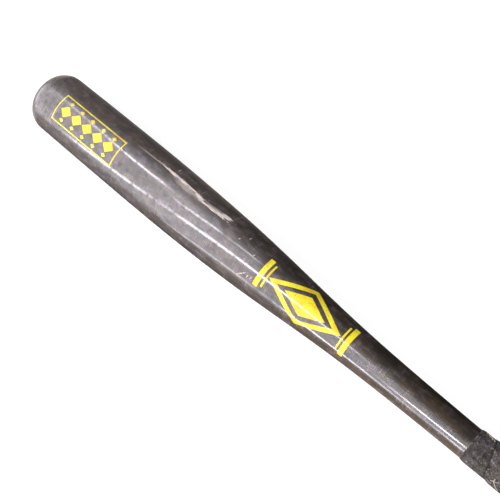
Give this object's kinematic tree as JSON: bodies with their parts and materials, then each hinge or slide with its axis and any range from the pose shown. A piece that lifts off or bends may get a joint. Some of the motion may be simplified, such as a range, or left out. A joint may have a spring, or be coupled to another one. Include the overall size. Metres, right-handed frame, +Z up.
{
  "type": "baseball bat",
  "caption": "Turned wooden bat with a cupped barrel end, a round knob and a lapped cloth-tape grip on the handle.",
  "frame": {"origin": "centre of the flat on the knob's end face, on the bat's axis", "axes": "+X along the bat's axis, out of the knob's end face, so that the barrel lies towards -X; +Z up; the printed side faces between +Z and -Y"},
  "size_m": [0.838, 0.0652, 0.0652],
  "materials": {
    "lacquered_wood": "near-black stain under gloss lacquer, with fine scratches and one worn patch of bare wood",
    "cloth_tape": "matte black woven cotton tape, faded and worn"
  },
  "bodies": {
    "root": {"bat_body": "lacquered_wood", "grip_anchor_band": "cloth_tape", "grip_tape": "cloth_tape"}
  },
  "joints": []
}
